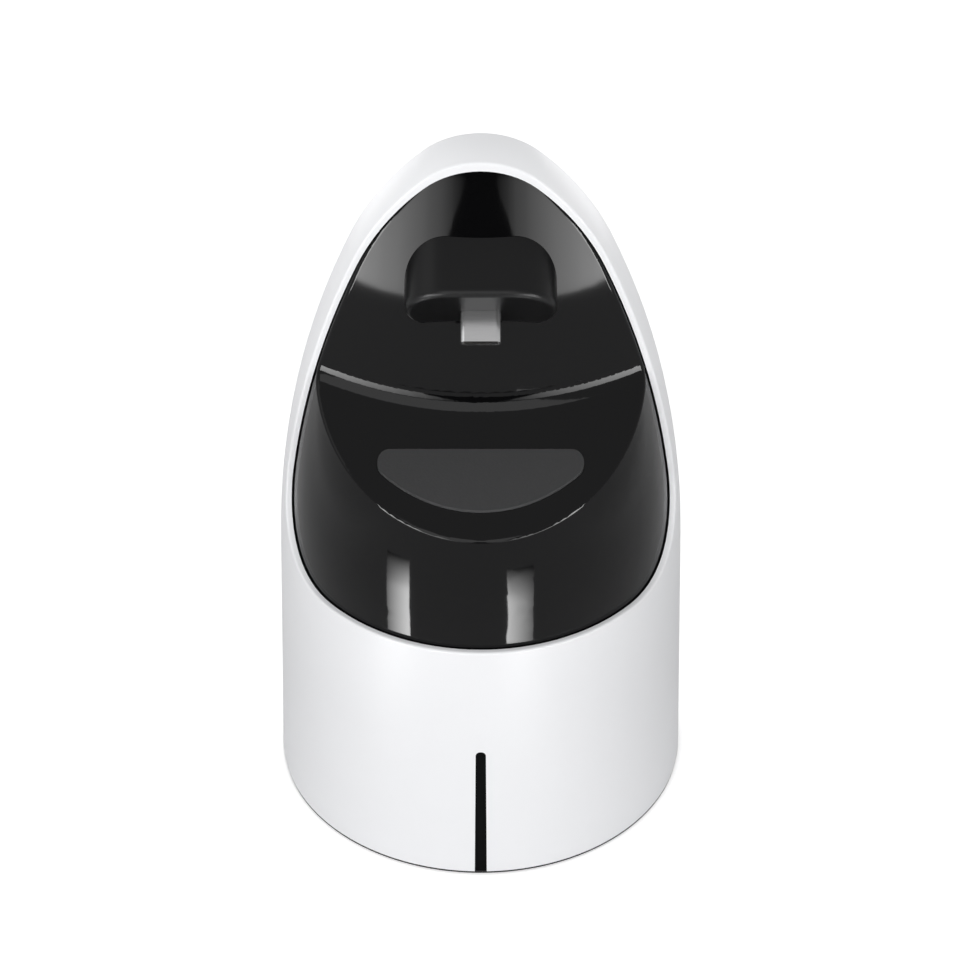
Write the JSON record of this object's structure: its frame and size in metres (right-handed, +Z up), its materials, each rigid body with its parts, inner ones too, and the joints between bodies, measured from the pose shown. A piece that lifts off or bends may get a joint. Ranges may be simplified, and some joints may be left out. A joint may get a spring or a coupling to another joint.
{
  "type": "controller charging dock",
  "caption": "Bullet-shaped charging dock: a white sleeve with an arch over a glossy black core, whose sloped seats and short plugs hold and charge gamepads front and back.",
  "frame": {"origin": "centre of the footprint, on the table under the feet", "axes": "+Z up along the dock's axis; the front with the indicator strip looks along -Y; +X to the right"},
  "size_m": [0.0826, 0.0826, 0.1615],
  "materials": {
    "white_shell": "moulded ABS, cool white, soft gloss",
    "black_gloss": "moulded ABS, piano black",
    "plug_block_black": "moulded black plastic, satin",
    "seat_rubber": "black silicone, matt",
    "plug_steel": "drawn steel, nickel plated",
    "plug_insert_black": "black moulded contact carrier",
    "circuit_board": "green glass-fibre board",
    "screw_steel": "zinc-plated steel",
    "base_black": "moulded ABS, fine texture",
    "foot_rubber": "dark grey rubber, matt",
    "ballast_steel": "punched steel disc, bare",
    "chip_black": "moulded electronic package",
    "can_aluminium": "bare aluminium can",
    "socket_white": "natural nylon",
    "header_black": "black moulded pin row",
    "harness_black": "sleeved wires",
    "smoked_pipe": "smoked black light pipe"
  },
  "bodies": {
    "root": {"outer_shell": "white_shell", "front_fascia": "black_gloss", "rear_fascia": "black_gloss", "front_plug_block": "plug_block_black", "rear_plug_block": "plug_block_black", "front_seat_pad": "seat_rubber", "rear_seat_pad": "seat_rubber", "front_plug_shell": "plug_steel", "rear_plug_shell": "plug_steel", "inlet_shell": "plug_steel", "front_plug_insert": "plug_insert_black", "rear_plug_insert": "plug_insert_black", "inlet_tongue": "plug_insert_black", "front_plug_board": "circuit_board", "rear_plug_board": "circuit_board", "main_board": "circuit_board", "indicator_board": "circuit_board", "plug_board_screws": "screw_steel", "ballast_screws": "screw_steel", "shell_screws": "screw_steel", "fascia_screws": "screw_steel", "board_screws": "screw_steel", "base_plate": "base_black", "foot_pads": "foot_rubber", "ballast_plate": "ballast_steel", "charge_chips": "chip_black", "inductors": "chip_black", "capacitors": "can_aluminium", "harness_sockets": "socket_white", "indicator_leds": "socket_white", "indicator_header": "header_black", "front_harness": "harness_black", "rear_harness": "harness_black", "light_pipe": "smoked_pipe"}
  },
  "joints": []
}
